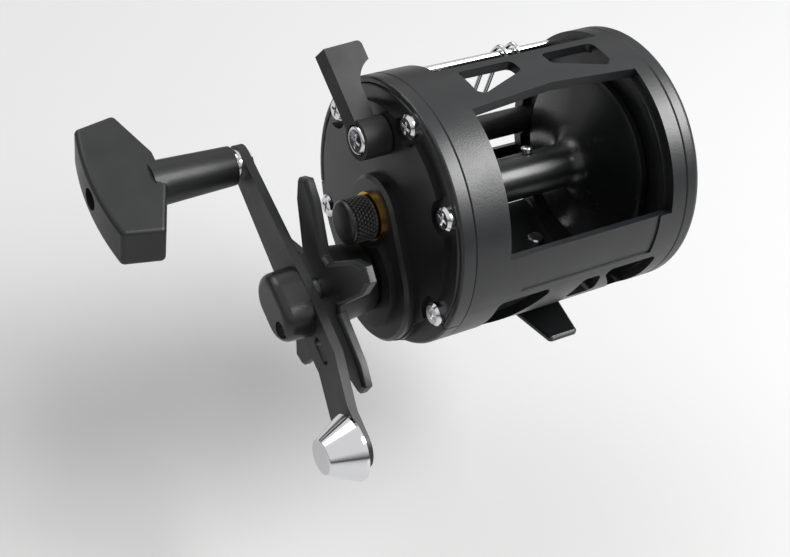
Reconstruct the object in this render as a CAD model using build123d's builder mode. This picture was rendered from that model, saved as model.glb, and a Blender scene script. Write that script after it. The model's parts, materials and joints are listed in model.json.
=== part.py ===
from build123d import *
from math import acos, atan2, cos, degrees, pi, radians, sin, sqrt, tan
import os

os.makedirs("parts", exist_ok=True)

# ---------------------------------------------------------------- driving dimensions (mm)
# The origin is the middle of the reel foot's underside. X runs from the handle side to
# the tail side, Y towards the rod tip (line exit) and Z up.
bodyR = 36.0          # outer radius of the frame rings
wall = 2.6            # frame wall
spoolX = -6.0         # spool centre, seen from the middle of the foot
spoolZ = 37.4         # height of the spool axis over the foot's underside
axis = (0.0, spoolZ)  # spool axis, as (Y, Z)

# stations along X, measured from the spool centre
coverFace = -42.5     # raised face of the handle side cover
coverRim = -40.7      # rim of the cover and outer edge of the trim ring
frameLeft = -36.6     # frame meets the trim ring
bulkLeftOut = -29.4   # gear side bulkhead
bulkLeftIn = -27.4
windowHalf = 26.2     # half length of the windows between the rings
bulkRightIn = 27.2    # tail side bulkhead
bulkRightOut = 28.4
tailSeam = 31.0       # frame meets the tail plate
tailEnd = 35.8        # outer face of the tail plate

# drive gears
driveModule = 0.75
mainTeeth = 38
pinionTeeth = 10
driveGap = driveModule * (mainTeeth + pinionTeeth) / 2
driveY = -3.1
driveZ = spoolZ - sqrt(driveGap**2 - driveY**2)
drive = (driveY, driveZ)

# level wind gears
windModule = 0.6
spoolTeeth = 12
idlerTeeth = 38
wormTeeth = 12
wormY = 29.4
wormGap = windModule * (spoolTeeth + 2 * idlerTeeth + wormTeeth) / 2
wormZ = spoolZ - sqrt(wormGap**2 - wormY**2)
worm = (wormY, wormZ)
wormAngle = degrees(atan2(wormZ - spoolZ, wormY))
idlerGap = windModule * (spoolTeeth + idlerTeeth) / 2
idler = (idlerGap * cos(radians(wormAngle)), spoolZ + idlerGap * sin(radians(wormAngle)))

# spool
flangeR = 25.3
arborR = 6.2
flangeOut = 26.0
flareStart = 15.0      # the arbor widens into the flanges from here
flareEnd = 20.6
flareR = 11.0
flangeIn = 23.4
shaftR = 1.6

# crank
crankAngle = 24.2     # direction of the arm from the drive shaft to the knob
knobReach = 40.4
weightReach = 43.0
armIn = -64.9
armOut = -67.4

# places shared by several pieces
rivetX = (-14, 14)
rivetY = (-6.5, 6.5)
rivetTop = 4.2
tubeR = 4.1
guideY = 27.0
guideZ = spoolZ + 21.6
wormGearRoom = windModule * wormTeeth / 2 + 1.1
postY = 9.8


def yz(x):
    """Plane across the reel at station x, with local axes Y and Z."""
    return Plane.YZ.offset(spoolX + x)


def polar(centre, radius, angle):
    """Point at radius and angle (from +Y towards +Z) about a centre."""
    return (centre[0] + radius * cos(radians(angle)), centre[1] + radius * sin(radians(angle)))


def gearPoints(teeth, module, phase, centre, slack=0.10):
    """Involute gear outline: 25 degree pressure angle, short teeth, thinned by slack."""
    pitchR = module * teeth / 2
    baseR = pitchR * cos(radians(25))
    tipR = pitchR + 0.8 * module
    rootR = pitchR - 1.05 * module
    halfTooth = pi / (2 * teeth) - slack / (2 * pitchR)
    invPitch = tan(radians(25)) - radians(25)
    startR = max(baseR, rootR)
    points = []
    for tooth in range(teeth):
        middle = radians(phase) + 2 * pi * tooth / teeth
        flank = []
        for step in range(5):
            r = startR + (tipR - startR) * step / 4
            alpha = acos(min(1.0, baseR / r))
            flank.append((r, halfTooth + invPitch - (tan(alpha) - alpha)))
        rising = [(rootR, flank[0][1] + 0.02)] + flank
        outline = [(r, -a) for r, a in rising] + [(r, a) for r, a in reversed(rising)]
        for r, a in outline:
            points.append((centre[0] + r * cos(middle + a), centre[1] + r * sin(middle + a)))
    return points


def save(builder, label):
    builder.part.label = label
    export_step(builder.part, "parts/" + label + ".step")


dogPivot = polar(drive, 12.2, 200)
bridgeScrewPlace = polar(drive, 8.9, 270)

# ---------------------------------------------------------------- frame
railWidth = 14.5      # half angle of the top rail, in degrees
panelTop = 10.5

with BuildPart() as frame:
    with BuildSketch(yz(frameLeft)):
        with Locations(axis):
            Circle(bodyR)
    extrude(amount=tailSeam - frameLeft)
    chamfer(frame.edges().filter_by(GeomType.CIRCLE), 0.35)
    # hollow of the spool chamber, the gear case and the level wind gear pocket
    for start, end, radius in (
        (bulkLeftIn, bulkRightIn, bodyR - wall),
        (frameLeft, bulkLeftOut, bodyR - wall),
        (bulkRightOut, tailSeam, bodyR - wall),
    ):
        with BuildSketch(yz(start)):
            with Locations(axis):
                Circle(radius)
        extrude(amount=end - start, mode=Mode.SUBTRACT)
    # pinion bearing seat and spool gear hole in the bulkheads
    with BuildSketch(yz(bulkLeftOut)):
        with Locations(axis):
            Circle(6.5)
    extrude(amount=bulkLeftIn - bulkLeftOut, mode=Mode.SUBTRACT)
    with BuildSketch(yz(bulkRightIn)):
        with Locations(axis):
            Circle(8.6)
    extrude(amount=bulkRightOut - bulkRightIn, mode=Mode.SUBTRACT)
    # rear window, from the panel up to the chevron edge of the top rail
    with BuildSketch(yz(-windowHalf)):
        with BuildLine():
            Polyline(
                axis,
                polar(axis, 60, 180 - panelTop),
                (-60, spoolZ + 60),
                polar(axis, 60, 180 - 60),
                close=True,
            )
        make_face()
        with Locations(axis):
            Circle(bodyR - 8, mode=Mode.SUBTRACT)
    extrude(amount=2 * windowHalf, mode=Mode.SUBTRACT)
    with BuildSketch(Plane.XY.offset(spoolZ + 12)):
        with BuildLine():
            Polyline(
                (spoolX - windowHalf, -40),
                (spoolX - windowHalf, -8.7),
                (spoolX, -6.2),
                (spoolX + windowHalf, -8.1),
                (spoolX + windowHalf, -40),
                close=True,
            )
        make_face()
    extrude(amount=30, mode=Mode.SUBTRACT)
    # front window, open for the line and the level wind
    with BuildSketch(yz(-windowHalf)):
        with BuildLine():
            Polyline(
                axis,
                polar(axis, 60, 90 - railWidth),
                (60, spoolZ + 60),
                (60, spoolZ - 60),
                polar(axis, 60, -27),
                close=True,
            )
        make_face()
    extrude(amount=2 * windowHalf, mode=Mode.SUBTRACT)
    # two triangular holes in the top rail
    for side in (-1, 1):
        with BuildSketch(Plane.XY.offset(spoolZ + 12)):
            with BuildLine():
                Polyline(
                    (spoolX + side * 21.5, 5.9),
                    (spoolX + side * 4.8, 5.9),
                    (spoolX + side * 4.8, 0.6),
                    (spoolX + side * 19.5, -4.8),
                    (spoolX + side * 21.5, -3.4),
                    close=True,
                )
            make_face()
            fillet(vertices(), 1.6)
        extrude(amount=30, mode=Mode.SUBTRACT)
    # arched openings between the rear panel and the foot bar, and the small middle one
    for side in (-1, 1):
        with BuildSketch(Plane.XZ.offset(10)):
            with BuildLine():
                Polyline(
                    (spoolX + side * 26.0, spoolZ - 8.4),
                    (spoolX + side * 10.0, spoolZ - 8.4),
                    (spoolX + side * 9.4, spoolZ - 10.6),
                    (spoolX + side * 20.0, spoolZ - 26.0),
                    (spoolX + side * 26.0, spoolZ - 26.0),
                    close=True,
                )
            make_face()
            fillet(vertices(), 1.8)
        extrude(amount=40, mode=Mode.SUBTRACT)
        with BuildSketch(Plane.XZ.offset(-10)):
            with BuildLine():
                Polyline(
                    (spoolX + side * 26.0, spoolZ - 21.0),
                    (spoolX + side * 9.0, spoolZ - 21.0),
                    (spoolX + side * 16.0, spoolZ - 29.5),
                    (spoolX + side * 26.0, spoolZ - 29.5),
                    close=True,
                )
            make_face()
            fillet(vertices(), 1.8)
        extrude(amount=-40, mode=Mode.SUBTRACT)
    with BuildSketch(Plane.XZ.offset(10)):
        with BuildLine():
            Polyline(
                (spoolX + 1.6, spoolZ - 9.6),
                (spoolX + 7.4, spoolZ - 9.6),
                (spoolX + 9.6, spoolZ - 18.6),
                (spoolX - 0.4, spoolZ - 18.6),
                close=True,
            )
        make_face()
        fillet(vertices(), 1.8)
    extrude(amount=40, mode=Mode.SUBTRACT)
    # shallow panel recess between the openings
    with BuildSketch(yz(-20.5)):
        with Locations(axis):
            Circle(bodyR + 2)
            Circle(bodyR - 0.5, mode=Mode.SUBTRACT)
        with BuildLine():
            Polyline(
                axis,
                polar(axis, 60, 180 - panelTop - 2),
                polar(axis, 60, 180 + 9.5),
                close=True,
            )
        make_face(mode=Mode.INTERSECT)
    extrude(amount=43, mode=Mode.SUBTRACT)
    # saddle for the foot under the bottom bar
    with BuildSketch(Plane.XY.offset(1.6)):
        with Locations((0, 0)):
            RectangleRounded(40, 24, 3)
    extrude(amount=5)
    with BuildSketch(yz(bulkLeftIn)):
        with Locations(axis):
            Circle(bodyR - wall)
    extrude(amount=bulkRightIn - bulkLeftIn, mode=Mode.SUBTRACT)
    with BuildSketch(Plane.XY):
        Rectangle(41, 30)
    extrude(amount=1.6, mode=Mode.SUBTRACT)
    # rivet holes with flat seats inside
    for x in rivetX:
        for y in rivetY:
            with BuildSketch(Plane.XY):
                with Locations((x, y)):
                    Circle(1.3)
            extrude(amount=10, mode=Mode.SUBTRACT)
            with BuildSketch(Plane.XY.offset(rivetTop)):
                with Locations((x, y)):
                    Circle(2.5)
            extrude(amount=4, mode=Mode.SUBTRACT)
    # lip inside the windows at the tail side
    with BuildSketch(yz(bulkRightIn)):
        with Locations(axis):
            Circle(bodyR - wall + 0.2)
            Circle(bodyR - wall - 2.2, mode=Mode.SUBTRACT)
    extrude(amount=-2.2)
    # bores across both bulkheads for the worm tube and the guide rod
    for centre, radius in ((worm, tubeR), ((guideY, guideZ), 1.1)):
        with BuildSketch(yz(bulkLeftOut)):
            with Locations(centre):
                Circle(radius)
        extrude(amount=bulkRightOut - bulkLeftOut, mode=Mode.SUBTRACT)
    with BuildSketch(yz(bulkRightOut)):
        with Locations(worm):
            Circle(wormGearRoom)
    extrude(amount=tailSeam - bulkRightOut, mode=Mode.SUBTRACT)
    with BuildSketch(yz(bulkRightIn)):
        with Locations(idler):
            Circle(2.0)
    extrude(amount=bulkRightOut - bulkRightIn, mode=Mode.SUBTRACT)
    # holes in the gear side bulkhead for the yoke posts, the dog pin and the bridge screw
    with BuildSketch(yz(bulkLeftOut)):
        with Locations((-postY, spoolZ), (postY, spoolZ)):
            Circle(1.2)
        with Locations(dogPivot, bridgeScrewPlace):
            Circle(1.0)
    extrude(amount=bulkLeftIn - bulkLeftOut, mode=Mode.SUBTRACT)
save(frame, "frame")

# ---------------------------------------------------------------- trim ring and covers
screwR = 31.1         # pitch radius of the cover screws
screwAngles = (99, 146, 201.6, 28, -33, 270)
ringEnd = 22          # the trim ring stops this far below the horizontal

with BuildPart() as side_ring:
    with BuildSketch(yz(coverRim)):
        with Locations(axis):
            Circle(bodyR)
            Circle(34.2, mode=Mode.SUBTRACT)
        with BuildLine():
            Polyline(
                axis,
                polar(axis, 60, -ringEnd),
                (60, spoolZ + 60),
                (-60, spoolZ + 60),
                polar(axis, 60, 180 + ringEnd),
                close=True,
            )
        make_face(mode=Mode.INTERSECT)
    extrude(amount=frameLeft - coverRim)
    chamfer(side_ring.edges().filter_by(GeomType.CIRCLE).group_by(Axis.X)[0], 0.4)
save(side_ring, "trim_ring")

lobeR = 19.8
bossTopR = 11.0
bossLowR = 18.8
bossFace = -45.3
collarFace = -47.3
collarR = 14.0

with BuildPart() as side_cover:
    with BuildSketch(yz(coverRim)):
        with Locations(axis):
            Circle(bodyR)
        with BuildLine():
            Polyline(
                axis,
                polar(axis, 60, -ringEnd - 0.4),
                (60, spoolZ - 60),
                (-60, spoolZ - 60),
                polar(axis, 60, 180 + ringEnd + 0.4),
                close=True,
            )
        make_face(mode=Mode.INTERSECT)
        with Locations(axis):
            Circle(34.15)
        with Locations(drive):
            Circle(lobeR)
    extrude(amount=frameLeft - coverRim)
    fillet(side_cover.edges().group_by(Axis.X)[0], 0.8)
    # raised face, scalloped round the screws
    with BuildSketch(yz(coverFace)):
        with Locations(axis):
            Circle(30.2)
        with Locations(drive):
            Circle(bossLowR + 0.4)
        for angle in screwAngles[:5]:
            with Locations(polar(axis, screwR, angle)):
                Circle(5.0, mode=Mode.SUBTRACT)
    extrude(amount=coverRim - coverFace)
    # teardrop boss from the spool axis to the drive shaft
    with BuildSketch(yz(bossFace)):
        with Locations(axis):
            Circle(bossTopR)
        with Locations(drive):
            Circle(bossLowR)
        make_hull()
    extrude(amount=coverFace - bossFace)
    chamfer(side_cover.edges().group_by(Axis.X)[0], 0.9)
    with BuildSketch(yz(collarFace)):
        with Locations(drive):
            Circle(collarR)
        with Locations(axis):
            Circle(8.2, mode=Mode.SUBTRACT)
    extrude(amount=bossFace - collarFace)
    # inside space for the gears
    with BuildSketch(yz(-40.2)):
        with Locations(axis):
            Circle(31.6)
        with Locations(drive):
            Circle(17.4)
        for angle in screwAngles[:5]:
            with Locations(polar(axis, screwR, angle)):
                Circle(3.4, mode=Mode.SUBTRACT)
    extrude(amount=frameLeft + 40.2, mode=Mode.SUBTRACT)
    with BuildSketch(yz(-43.3)):
        with Locations(drive):
            Circle(15.4)
    extrude(amount=3.1, mode=Mode.SUBTRACT)
    # seats for the spool bearing, the cap sleeve and the drive bush
    with BuildSketch(yz(bossFace)):
        with Locations(axis):
            Circle(4.05)
    extrude(amount=6, mode=Mode.SUBTRACT)
    with BuildSketch(yz(collarFace)):
        with Locations(drive):
            Circle(6.5)
    extrude(amount=4, mode=Mode.SUBTRACT)
    # screw holes with flat seats
    for angle in screwAngles[:5]:
        with BuildSketch(yz(coverRim)):
            with Locations(polar(axis, screwR, angle)):
                Circle(1.35)
        extrude(amount=6, mode=Mode.SUBTRACT)
    # bore for the eccentric of the clutch lever
    leverPivot = (4.3, spoolZ + 22.5)
    with BuildSketch(yz(coverFace)):
        with Locations(leverPivot):
            Circle(3.5)
    extrude(amount=4, mode=Mode.SUBTRACT)
save(side_cover, "handle_side_cover")

with BuildPart() as cover_screws:
    for angle in screwAngles[:5]:
        with BuildSketch(yz(coverRim)):
            with Locations(polar(axis, screwR, angle)):
                Circle(1.3)
        extrude(amount=8)
        with BuildSketch(yz(coverRim)):
            with Locations(polar(axis, screwR, angle)):
                Circle(3.2)
        extrude(amount=-1.9)
    chamfer(cover_screws.edges().group_by(Axis.X)[0], 0.7)
    for angle in screwAngles[:5]:
        with BuildSketch(yz(coverRim - 2)):
            with Locations(polar(axis, screwR, angle)):
                Rectangle(3.6, 0.8)
                Rectangle(0.8, 3.6)
        extrude(amount=1.0, mode=Mode.SUBTRACT)
save(cover_screws, "cover_screws")

with BuildPart() as cover_posts:
    for angle in screwAngles[:5]:
        with BuildSketch(yz(-36.5)):
            with Locations(polar(axis, screwR, angle)):
                Circle(2.25)
                Circle(1.3, mode=Mode.SUBTRACT)
        extrude(amount=7.1)
save(cover_posts, "cover_screw_bushes")

tailScrewAngles = (45, 135, 225, 315)
tailScrewR = 29.5
with BuildPart() as tail_plate:
    with BuildSketch(yz(tailSeam)):
        with Locations(axis):
            Circle(bodyR)
    extrude(amount=tailEnd - tailSeam)
    fillet(tail_plate.edges().group_by(Axis.X)[-1], 2.2)
    chamfer(tail_plate.edges().group_by(Axis.X)[0], 0.3)
    with BuildSketch(yz(tailEnd)):
        with Locations(axis):
            Circle(24)
    extrude(amount=1.2)
    fillet(tail_plate.edges().group_by(Axis.X)[-1], 0.8)
    with BuildSketch(yz(tailSeam)):
        with Locations(axis):
            Circle(bodyR - wall)
        for angle in tailScrewAngles:
            with Locations(polar(axis, tailScrewR, angle)):
                Circle(3.2, mode=Mode.SUBTRACT)
    extrude(amount=2.6, mode=Mode.SUBTRACT)
    # bearing boss of the spool shaft
    with BuildSketch(yz(tailSeam + 1.6)):
        with Locations(axis):
            Circle(6.2)
    extrude(amount=1.2)
    with BuildSketch(yz(tailSeam + 1.6)):
        with Locations(axis):
            Circle(4.0)
    extrude(amount=2.0, mode=Mode.SUBTRACT)
    with BuildSketch(yz(tailSeam)):
        with Locations(axis):
            Circle(2.0)
    extrude(amount=4.0, mode=Mode.SUBTRACT)
    # holes for the screws and the clicker button
    for angle in tailScrewAngles:
        with BuildSketch(yz(tailSeam)):
            with Locations(polar(axis, tailScrewR, angle)):
                Circle(1.35)
        extrude(amount=6, mode=Mode.SUBTRACT)
        with BuildSketch(yz(tailEnd)):
            with Locations(polar(axis, tailScrewR, angle)):
                Circle(2.9)
        extrude(amount=-1.4, mode=Mode.SUBTRACT)
    with BuildSketch(yz(tailSeam + 2)):
        with Locations((0, spoolZ + 15)):
            SlotCenterToCenter(5.0, 3.4, rotation=90)
    extrude(amount=6, mode=Mode.SUBTRACT)
save(tail_plate, "tail_plate")

with BuildPart() as tail_screws:
    for angle in tailScrewAngles:
        with BuildSketch(yz(tailEnd - 1.4)):
            with Locations(polar(axis, tailScrewR, angle)):
                Circle(2.7)
        extrude(amount=1.3)
    chamfer(tail_screws.edges().group_by(Axis.X)[-1], 0.5)
    for angle in tailScrewAngles:
        with BuildSketch(yz(tailEnd - 1.4)):
            with Locations(polar(axis, tailScrewR, angle)):
                Circle(1.3)
        extrude(amount=-3.3)
        with BuildSketch(yz(tailEnd)):
            with Locations(polar(axis, tailScrewR, angle)):
                Rectangle(3.2, 0.7)
                Rectangle(0.7, 3.2)
        extrude(amount=-0.9, mode=Mode.SUBTRACT)
save(tail_screws, "tail_plate_screws")

# ---------------------------------------------------------------- reel foot
footHalf = 29.0
with BuildPart() as reel_foot:
    with BuildSketch(Plane.XY):
        with BuildLine():
            Polyline(
                (-4.7, -footHalf),
                (4.7, -footHalf),
                (7.6, -14),
                (18, -10),
                (18, 10),
                (7.6, 14),
                (4.7, footHalf),
                (-4.7, footHalf),
                (-7.6, 14),
                (-18, 10),
                (-18, -10),
                (-7.6, -14),
                close=True,
            )
        make_face()
        fillet(vertices(), 1.2)
    extrude(amount=1.6)
    chamfer(reel_foot.edges().group_by(Axis.Z)[-1], 0.6)
    with BuildSketch(Plane.XY):
        with GridLocations(28, 13, 2, 2):
            Circle(1.35)
    extrude(amount=1.6, mode=Mode.SUBTRACT)
save(reel_foot, "reel_foot")

with BuildPart() as foot_rivets:
    for x in rivetX:
        for y in rivetY:
            with BuildSketch(Plane.XY.offset(0.2)):
                with Locations((x, y)):
                    Circle(1.3)
            extrude(amount=rivetTop - 0.2)
            with BuildSketch(Plane.XY.offset(rivetTop)):
                with Locations((x, y)):
                    Circle(2.4)
            extrude(amount=1.3)
    chamfer(foot_rivets.edges().group_by(Axis.Z)[-1], 0.4)
save(foot_rivets, "foot_rivets")

# ---------------------------------------------------------------- spool
pinX = 5.1            # the line pin's place along the arbor
pinAngle = 66.5
pinWay = (0, cos(radians(pinAngle)), sin(radians(pinAngle)))
pinPlane = Plane(origin=(spoolX + pinX, 0, spoolZ), x_dir=(1, 0, 0), z_dir=pinWay)
pinAxis = Axis((spoolX + pinX, 0, spoolZ), pinWay)
with BuildPart() as spool:
    with BuildSketch(Plane.XZ):
        with BuildLine():
            Polyline(
                (spoolX - flangeOut, spoolZ + shaftR),
                (spoolX - flangeOut, spoolZ + 7.0),
                (spoolX - flangeOut + 1.4, spoolZ + 9.0),
                (spoolX - flangeOut + 1.4, spoolZ + flangeR - 2.6),
                (spoolX - flangeOut, spoolZ + flangeR - 2.0),
                (spoolX - flangeOut, spoolZ + flangeR),
                (spoolX - flangeOut + 1.6, spoolZ + flangeR),
                (spoolX - flangeIn, spoolZ + flangeR - 1.6),
                (spoolX - flangeIn + 0.6, spoolZ + 20.0),
                (spoolX - flareEnd, spoolZ + flareR),
            )
            Spline(
                (spoolX - flareEnd, spoolZ + flareR),
                (spoolX - flareEnd + 1.7, spoolZ + arborR + 1.3),
                (spoolX - flareStart, spoolZ + arborR),
                tangents=((0.3, -0.95), (1, 0)),
            )
            Line((spoolX - flareStart, spoolZ + arborR), (spoolX + flareStart, spoolZ + arborR))
            Spline(
                (spoolX + flareStart, spoolZ + arborR),
                (spoolX + flareEnd - 1.7, spoolZ + arborR + 1.3),
                (spoolX + flareEnd, spoolZ + flareR),
                tangents=((1, 0), (0.3, 0.95)),
            )
            Polyline(
                (spoolX + flareEnd, spoolZ + flareR),
                (spoolX + flangeIn - 0.6, spoolZ + 20.0),
                (spoolX + flangeIn, spoolZ + flangeR - 1.6),
                (spoolX + flangeOut - 1.6, spoolZ + flangeR),
                (spoolX + flangeOut, spoolZ + flangeR),
                (spoolX + flangeOut, spoolZ + flangeR - 2.0),
                (spoolX + flangeOut - 1.4, spoolZ + flangeR - 2.6),
                (spoolX + flangeOut - 1.4, spoolZ + 9.0),
                (spoolX + flangeOut, spoolZ + 7.0),
                (spoolX + flangeOut, spoolZ + shaftR),
                (spoolX - flangeOut, spoolZ + shaftR),
            )
        make_face()
    revolve(axis=Axis((spoolX, 0, spoolZ), (1, 0, 0)))
    with BuildSketch(pinPlane.offset(arborR + 2)):
        Circle(1.0)
    extrude(amount=-4.5, mode=Mode.SUBTRACT)
save(spool, "spool")

with BuildPart() as spool_shaft:
    with BuildSketch(yz(-48.8)):
        with Locations(axis):
            Circle(shaftR - 0.05)
    extrude(amount=48.8 + 33.6)
    # cross pin that the pinion's jaws turn
    with BuildSketch(yz(-28.0)):
        with Locations(axis):
            Rectangle(9.0, 1.6)
    extrude(amount=1.8)
    with BuildSketch(yz(30.9)):
        with Locations(axis):
            Circle(2.4)
            Circle(shaftR - 0.1, mode=Mode.SUBTRACT)
    extrude(amount=0.5)
save(spool_shaft, "spool_shaft")

with BuildPart() as line_pin:
    with BuildSketch(pinPlane.offset(arborR - 2.4)):
        Circle(0.95)
    extrude(amount=2.6)
    with BuildSketch(pinPlane.offset(arborR + 0.1)):
        Circle(1.6)
    extrude(amount=1.5)
    fillet(line_pin.faces().sort_by(pinAxis)[-1].edges(), 0.5)
save(line_pin, "line_pin")

with BuildPart() as spool_gear:
    with BuildSketch(yz(28.9)):
        with BuildLine():
            Polyline(gearPoints(spoolTeeth, windModule, wormAngle, axis), close=True)
        make_face()
        with Locations(axis):
            Circle(shaftR, mode=Mode.SUBTRACT)
    extrude(amount=1.9)
    for start, length, radius in ((26.05, 2.2, 4.6), (28.2, 0.75, 2.7)):
        with BuildSketch(yz(start)):
            with Locations(axis):
                Circle(radius)
                Circle(shaftR, mode=Mode.SUBTRACT)
        extrude(amount=length)
save(spool_gear, "spool_gear")

clickTeeth = 12
clickR = 3.5
with BuildPart() as click_wheel:
    with BuildSketch(yz(31.5)):
        with BuildLine():
            star = []
            for tooth in range(clickTeeth):
                turn = 360 / clickTeeth
                star.append(polar(axis, clickR, 90 + (tooth + 0.5) * turn))
                star.append(polar(axis, clickR - 0.8, 90 + (tooth + 1.0) * turn))
            Polyline(star, close=True)
        make_face()
        with Locations(axis):
            Circle(shaftR, mode=Mode.SUBTRACT)
    extrude(amount=0.7)
save(click_wheel, "click_wheel")

# ---------------------------------------------------------------- spool bearings
def bearing(station, centre, bore, outer, width):
    """Ball bearing: inner and outer ring with a shallow shield groove on both faces."""
    with BuildPart() as body:
        with BuildSketch(yz(station)):
            with Locations(centre):
                Circle(outer)
                Circle(bore, mode=Mode.SUBTRACT)
        extrude(amount=width)
        for side in (0, width - 0.3):
            with BuildSketch(yz(station + side)):
                with Locations(centre):
                    Circle(outer - 0.7)
                    Circle(bore + 0.7, mode=Mode.SUBTRACT)
            extrude(amount=0.3, mode=Mode.SUBTRACT)
    return body


with BuildPart() as spool_bearings:
    add(bearing(-44.9, axis, shaftR, 4.05, 3.5).part)
    add(bearing(32.7, axis, shaftR, 4.0, 1.6).part)
save(spool_bearings, "spool_bearings")

# ---------------------------------------------------------------- cast control
with BuildPart() as cap_sleeve:
    with BuildSketch(yz(bossFace)):
        with Locations(axis):
            Circle(4.0)
            Circle(2.4, mode=Mode.SUBTRACT)
    extrude(amount=0.3)
    with BuildSketch(yz(bossFace)):
        with Locations(axis):
            Circle(6.7)
            Circle(2.4, mode=Mode.SUBTRACT)
    extrude(amount=-0.9)
    with BuildSketch(yz(bossFace - 0.9)):
        with Locations(axis):
            Circle(4.3)
            Circle(2.4, mode=Mode.SUBTRACT)
    extrude(amount=-3.6)
save(cap_sleeve, "cap_sleeve")

with BuildPart() as tension_cap:
    with BuildSketch(yz(-46.5)):
        with Locations(axis):
            Circle(6.0)
    extrude(amount=-7.6)
    fillet(tension_cap.edges().group_by(Axis.X)[0], 1.1)
    with BuildSketch(yz(-46.5)):
        with Locations(axis):
            Circle(4.35)
    extrude(amount=-5.2, mode=Mode.SUBTRACT)
save(tension_cap, "cast_control_cap")

with BuildPart() as brake_shim:
    with BuildSketch(yz(-49.2)):
        with Locations(axis):
            Circle(2.2)
    extrude(amount=-0.8)
save(brake_shim, "brake_shim")

# ---------------------------------------------------------------- drive train
with BuildPart() as bridge_plate:
    with BuildSketch(yz(-30.6)):
        with Locations(axis):
            Circle(12.5)
        with Locations(drive):
            Circle(11.2)
        make_hull()
        with Locations(axis):
            Circle(6.5, mode=Mode.SUBTRACT)
        with Locations(drive):
            Circle(4.5, mode=Mode.SUBTRACT)
        with Locations((-postY, spoolZ), (postY, spoolZ)):
            Circle(1.2, mode=Mode.SUBTRACT)
        with Locations(bridgeScrewPlace, dogPivot):
            Circle(1.0, mode=Mode.SUBTRACT)
    extrude(amount=1.2)
save(bridge_plate, "bridge_plate")

with BuildPart() as bridge_screws:
    with BuildSketch(yz(-31.4)):
        with Locations(bridgeScrewPlace):
            Circle(1.7)
    extrude(amount=0.8)
    with BuildSketch(yz(-30.6)):
        with Locations(bridgeScrewPlace):
            Circle(1.0)
    extrude(amount=2.2)
save(bridge_screws, "bridge_screw")

with BuildPart() as yoke_posts:
    for y in (-9.8, 9.8):
        with BuildSketch(yz(-37.6)):
            with Locations((y, spoolZ)):
                Circle(1.2)
        extrude(amount=9.0)
        with BuildSketch(yz(-37.6)):
            with Locations((y, spoolZ)):
                Circle(2.0)
        extrude(amount=-0.8)
save(yoke_posts, "yoke_posts")

with BuildPart() as drive_bushes:
    for start, length, outer, inner in ((-30.6, 1.2, 4.5, 3.05), (collarFace, 4.0, 6.5, 4.55)):
        with BuildSketch(yz(start)):
            with Locations(drive):
                Circle(outer)
                Circle(inner, mode=Mode.SUBTRACT)
        extrude(amount=length)
save(drive_bushes, "drive_bushes")

with BuildPart() as drive_shaft:
    with BuildSketch(yz(-69.8)):
        with Locations(drive):
            Circle(3.0)
    extrude(amount=69.8 - 29.6)
save(drive_shaft, "drive_shaft")

mainPhase = degrees(atan2(spoolZ - driveZ, -driveY))
with BuildPart() as main_gear:
    with BuildSketch(yz(-36.2)):
        with BuildLine():
            Polyline(gearPoints(mainTeeth, driveModule, mainPhase, drive), close=True)
        make_face()
        with Locations(drive):
            Circle(3.0, mode=Mode.SUBTRACT)
    extrude(amount=3.2)
    with BuildSketch(yz(-36.2)):
        with Locations(drive):
            Circle(11.0)
            Circle(3.0, mode=Mode.SUBTRACT)
    extrude(amount=2.0, mode=Mode.SUBTRACT)
save(main_gear, "main_gear")

fibre = 0.6
metal = 0.5
with BuildPart() as fibre_washers:
    for index in range(3):
        with BuildSketch(yz(-34.2 - index * (fibre + metal))):
            with Locations(drive):
                Circle(10.8)
                Circle(3.0, mode=Mode.SUBTRACT)
        extrude(amount=-fibre)
save(fibre_washers, "drag_fibre_washers")

with BuildPart() as metal_washers:
    for index in range(2):
        with BuildSketch(yz(-34.2 - fibre - index * (fibre + metal))):
            with Locations(drive):
                Circle(10.8)
                Circle(3.0, mode=Mode.SUBTRACT)
        extrude(amount=-metal)
    with BuildSketch(yz(-34.2 - 3 * fibre - 2 * metal)):
        with Locations(drive):
            Circle(8.5)
            Circle(3.0, mode=Mode.SUBTRACT)
    extrude(amount=-0.8)
save(metal_washers, "drag_metal_washers")

ratchetTeeth = 12
with BuildPart() as ratchet_wheel:
    with BuildSketch(yz(-31.9)):
        with BuildLine():
            ratchet = []
            for tooth in range(ratchetTeeth):
                turn = 360 / ratchetTeeth
                ratchet.append(polar(drive, 6.9, tooth * turn))
                ratchet.append(polar(drive, 5.7, tooth * turn + 2))
            Polyline(ratchet, close=True)
        make_face()
        with Locations(drive):
            Circle(3.0, mode=Mode.SUBTRACT)
    extrude(amount=1.0)
save(ratchet_wheel, "ratchet_wheel")

with BuildPart() as pinion:
    with BuildSketch(yz(-37.0)):
        with BuildLine():
            points = gearPoints(pinionTeeth, driveModule, mainPhase + 180 + 180 / pinionTeeth, axis)
            Polyline(points, close=True)
        make_face()
    extrude(amount=4.6)
    with BuildSketch(yz(-32.4)):
        with Locations(axis):
            Circle(3.0)
    extrude(amount=1.6)
    with BuildSketch(yz(-30.8)):
        with Locations(axis):
            Circle(5.2)
    extrude(amount=4.0)
    with BuildSketch(yz(-37.0)):
        with Locations(axis):
            Circle(shaftR + 0.05)
    extrude(amount=11, mode=Mode.SUBTRACT)
    # jaws over the cross pin of the spool shaft
    with BuildSketch(yz(-26.8)):
        with Locations(axis):
            Rectangle(12, 2.0)
    extrude(amount=-1.4, mode=Mode.SUBTRACT)
save(pinion, "pinion")

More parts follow.
